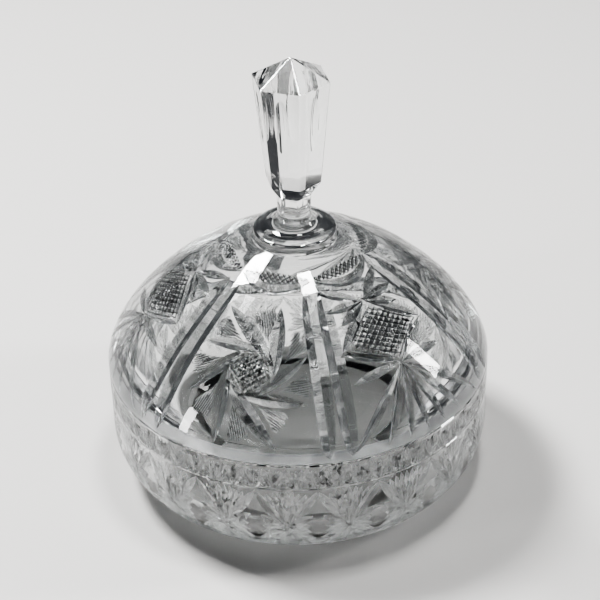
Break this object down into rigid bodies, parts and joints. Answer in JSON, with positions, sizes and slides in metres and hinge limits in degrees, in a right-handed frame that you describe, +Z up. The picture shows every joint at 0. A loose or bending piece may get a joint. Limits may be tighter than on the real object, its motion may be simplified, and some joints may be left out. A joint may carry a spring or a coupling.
{
  "type": "covered powder jar",
  "caption": "Round cut-crystal powder jar: a heavy shallow bowl and a domed lift-off lid carried by a tall faceted finial.",
  "frame": {"origin": "centre of the foot, on the table the bowl stands on", "axes": "+Z up along the jar's axis from the foot to the finial's point; -Y is the side the reference view looks at"},
  "size_m": [0.15, 0.15, 0.177],
  "materials": {
    "crystal": "clear colourless lead crystal, wheel cut and polished"
  },
  "bodies": {
    "jar": {"bowl": "crystal"},
    "lid": {"lid_dome": "crystal", "finial": "crystal"}
  },
  "joints": [
    {"name": "lid_lift", "type": "slide", "parent": "jar", "child": "lid", "axis": [0, 0, 1], "range_m": [0, 0.08]}
  ]
}
